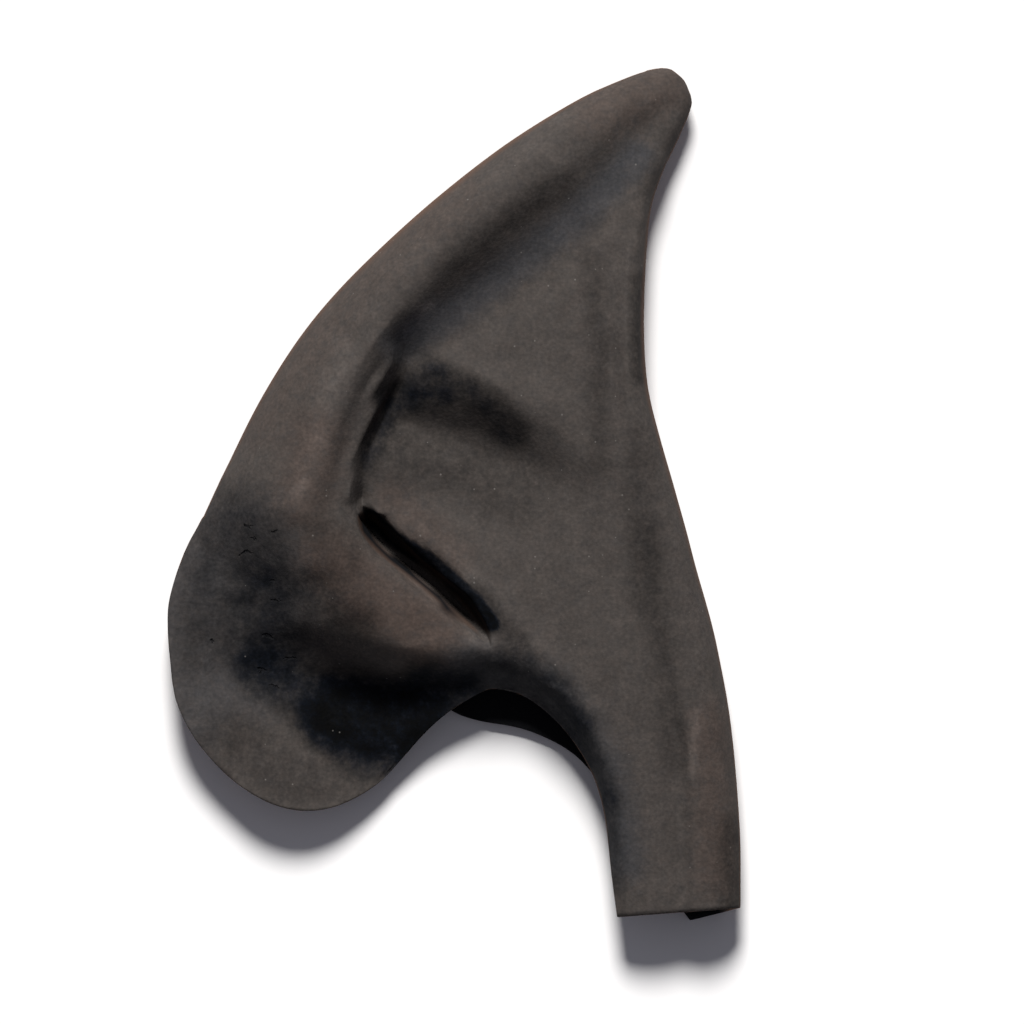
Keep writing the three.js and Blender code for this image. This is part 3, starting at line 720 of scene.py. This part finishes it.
@dataclass
class EarTipSkin:
    """The latex shell of the ear tip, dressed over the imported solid."""

    node: str = "ear_tip_shell"
    piece: str = "ear_tip_skin"
    weld: float = 0.02 * MM
    flat_join: float = math.radians(50)
    shape_join: float = math.radians(70)
    smooth_levels: int = 2
    lump_size: float = 5.0 * MM
    lump_height: float = 0.16 * MM
    lump_detail: int = 2
    facing_up: float = 0.3
    broad_slope: float = 0.6
    lowest_front: float = 2.0 * MM
    floor_height: float = 1.35 * MM
    sight: float = 60 * MM
    calmed_columns: tuple[float, float] = (190, 330)
    calmed_rows: tuple[float, float] = (520, 790)
    calming_rounds: int = 6
    calming: float = 0.5
    soft_angle: float = math.radians(18)
    crisp_angle: float = math.radians(70)
    crispness: float = 0.8
    strokes: tuple[Stroke, ...] = STROKES

    def build(self, frame: dict) -> bpy.types.Object:
        """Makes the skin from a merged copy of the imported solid.


        Returns:
            The finished piece.
        """
        shape = bmesh.new()
        shape.from_mesh(frame["nodes"][self.node].data)
        bmesh.ops.remove_doubles(shape, verts=shape.verts, dist=self.weld)
        bmesh.ops.join_triangles(
            shape,
            faces=shape.faces,
            angle_face_threshold=self.flat_join,
            angle_shape_threshold=self.shape_join,
        )
        shape.normal_update()
        self.calm_flange(shape)
        self.mark_inside(shape)
        self.keep_edges(shape)
        for face in shape.faces:
            face.smooth = True
            face.material_index = 0
        mesh = bpy.data.meshes.new(self.piece)
        shape.to_mesh(mesh)
        shape.free()
        skin = bpy.data.objects.new(self.piece, mesh)
        bpy.context.scene.collection.objects.link(skin)
        self.round_off(skin)
        self.draw_strokes(skin.data)
        return skin

    def calm_flange(self, shape: bmesh.types.BMesh) -> None:
        """Evens out the height of the flange's broad face.

        Args:
            shape: The merged shell.
        """
        first = spot(self.calmed_columns[0], self.calmed_rows[1])
        last = spot(self.calmed_columns[1], self.calmed_rows[0])
        broad = [
            vert
            for vert in shape.verts
            if vert.normal.z > self.broad_slope
            and vert.co.z > self.lowest_front
            and first.x < vert.co.x < last.x
            and first.y < vert.co.y < last.y
        ]
        for _ in range(self.calming_rounds):
            bmesh.ops.smooth_vert(shape, verts=broad, factor=self.calming, use_axis_z=True)

    def mark_inside(self, shape: bmesh.types.BMesh) -> None:
        """Marks the points of the inner faces, which have no powder on them.

        Args:
            shape: The merged shell.
        """
        inside = shape.verts.layers.float.new(Mark.INSIDE.value)
        tree = BVHTree.FromBMesh(shape)
        for vert in shape.verts:
            faces_up = vert.normal.z > self.facing_up
            if faces_up and vert.co.z > self.floor_height:
                continue
            start = vert.co + vert.normal * self.weld
            met = tree.ray_cast(start, vert.normal, self.sight)[0]
            if met is not None or faces_up:
                vert[inside] = 1.0

    def keep_edges(self, shape: bmesh.types.BMesh) -> None:
        """Keeps the cut edges crisp when the skin is rounded.

        Args:
            shape: The merged shell.
        """
        crease = shape.edges.layers.float.new("crease_edge")
        for edge in shape.edges:
            bend = edge.calc_face_angle(0.0) - self.soft_angle
            share = soft_step(bend / (self.crisp_angle - self.soft_angle))
            edge[crease] = self.crispness * share

    def round_off(self, skin: bpy.types.Object) -> None:
        """Rounds the skin, makes its front as uneven as a cast by hand, and applies both.

        Args:
            skin: The piece to finish.
        """
        front = skin.vertex_groups.new(name="front")
        chosen = [
            vert.index
            for vert in skin.data.vertices
            if vert.normal.z > self.facing_up and vert.co.z > self.lowest_front
        ]
        front.add(chosen, 1.0, "REPLACE")
        rounding = skin.modifiers.new("rounding", "SUBSURF")
        rounding.levels = rounding.render_levels = self.smooth_levels
        lumps = bpy.data.textures.new("hand_cast_lumps", "CLOUDS")
        lumps.noise_scale = self.lump_size
        lumps.noise_depth = self.lump_detail
        uneven = skin.modifiers.new("uneven", "DISPLACE")
        uneven.texture = lumps
        uneven.texture_coords = "LOCAL"
        uneven.vertex_group = front.name
        uneven.strength = self.lump_height
        uneven.mid_level = 0.5
        bpy.context.view_layer.update()
        state = bpy.context.evaluated_depsgraph_get()
        coarse = skin.data
        skin.data = bpy.data.meshes.new_from_object(skin.evaluated_get(state))
        skin.data.name = self.piece
        skin.modifiers.clear()
        bpy.data.meshes.remove(coarse)

    def draw_strokes(self, mesh: bpy.types.Mesh) -> None:
        """Writes the strokes of painted shade and highlight, stain, rubbing and painted cool shade on the
        points of the front.

        Args:
            mesh: The skin's mesh.
        """
        for mark in (Mark.STAIN, Mark.RUBBED, Mark.COOL):
            layer = mesh.attributes.new(mark.value, "FLOAT", "POINT")
            chosen = [stroke for stroke in self.strokes if stroke.mark is mark]
            strokes = [(stroke, *stroke.box()) for stroke in chosen]
            for vert, value in zip(mesh.vertices, layer.data):
                column = vert.co.x / PIXEL_WIDTH + MIDDLE_COLUMN
                row = MIDDLE_ROW - vert.co.y / PIXEL_HEIGHT
                value.value = sum(
                    stroke.at(column, row)
                    for stroke, left, top, right, bottom in strokes
                    if left < column < right and top < row < bottom
                )

    def dress(self, skin: bpy.types.Object, finish: LatexFinish) -> None:
        """Gives the skin its finish and ties it to the part.

        Args:
            skin: The finished piece.
            finish: The latex finish.
        """
        skin.data.materials.clear()
        skin.data.materials.append(finish.make())
        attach(skin, "root")
        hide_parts(self.node)


@dataclass
class Studio:
    """White table, one broad lamp beyond the tip, weak cool fill, view from above."""

    table_half: float = 0.6
    lamp_height: float = math.radians(43)
    lamp_side: float = -0.04
    lamp_power: float = 5.2
    lamp_width: float = math.radians(18)
    lamp_colour: tuple[float, float, float] = (1.0, 0.98, 0.96)
    fill_colour: Colour = (0.93, 0.93, 1.08, 1.0)
    fill_strength: float = 0.15
    camera_height: float = 0.5
    picture_width: float = IMAGE_PIXELS * 0.1114 * MM

    def build_table(self) -> bpy.types.Object:
        """Makes the table top.

        Returns:
            The table.
        """
        shape = bmesh.new()
        bmesh.ops.create_grid(shape, x_segments=1, y_segments=1, size=self.table_half)
        mesh = bpy.data.meshes.new("table_top")
        shape.to_mesh(mesh)
        shape.free()
        top = bpy.data.objects.new("table_top", mesh)
        top.data.materials.append(TableFinish().make())
        bpy.context.scene.collection.objects.link(top)
        return top

    def light(self) -> None:
        """Adds the lamp and the fill."""
        lamp = bpy.data.lights.new("key_lamp", "SUN")
        lamp.energy = self.lamp_power
        lamp.angle = self.lamp_width
        lamp.color = self.lamp_colour
        key = bpy.data.objects.new("key_lamp", lamp)
        towards = Vector((self.lamp_side, math.cos(self.lamp_height), math.sin(self.lamp_height)))
        key.rotation_euler = towards.to_track_quat("Z", "Y").to_euler()
        bpy.context.scene.collection.objects.link(key)
        world = bpy.data.worlds.new("fill")
        world.use_nodes = True
        back = world.node_tree.nodes["Background"]
        back.inputs["Color"].default_value = self.fill_colour
        back.inputs["Strength"].default_value = self.fill_strength
        bpy.context.scene.world = world

    def aim(self) -> None:
        """Adds the camera, straight above the part."""
        data = bpy.data.cameras.new("top_view")
        data.type = "ORTHO"
        data.ortho_scale = self.picture_width
        camera = bpy.data.objects.new("top_view", data)
        middle = IMAGE_PIXELS / 2
        camera.location = spot(middle, middle, self.camera_height)
        bpy.context.scene.collection.objects.link(camera)
        bpy.context.scene.camera = camera
        bpy.context.scene.view_settings.view_transform = "Standard"


def main() -> None:
    """Builds the pieces in order and logs the number of the skin's faces."""
    logging.basicConfig(level=logging.INFO, format="%(name)s: %(message)s")
    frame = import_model()
    studio = Studio()
    studio.build_table()
    studio.light()
    studio.aim()
    LOG.info("table, lamp and camera are in place")
    shell = EarTipSkin()
    skin = shell.build(frame)
    shell.dress(skin, LatexFinish())
    LOG.info("%s: %d faces", skin.name, len(skin.data.polygons))


if __name__ == "__main__":
    main()
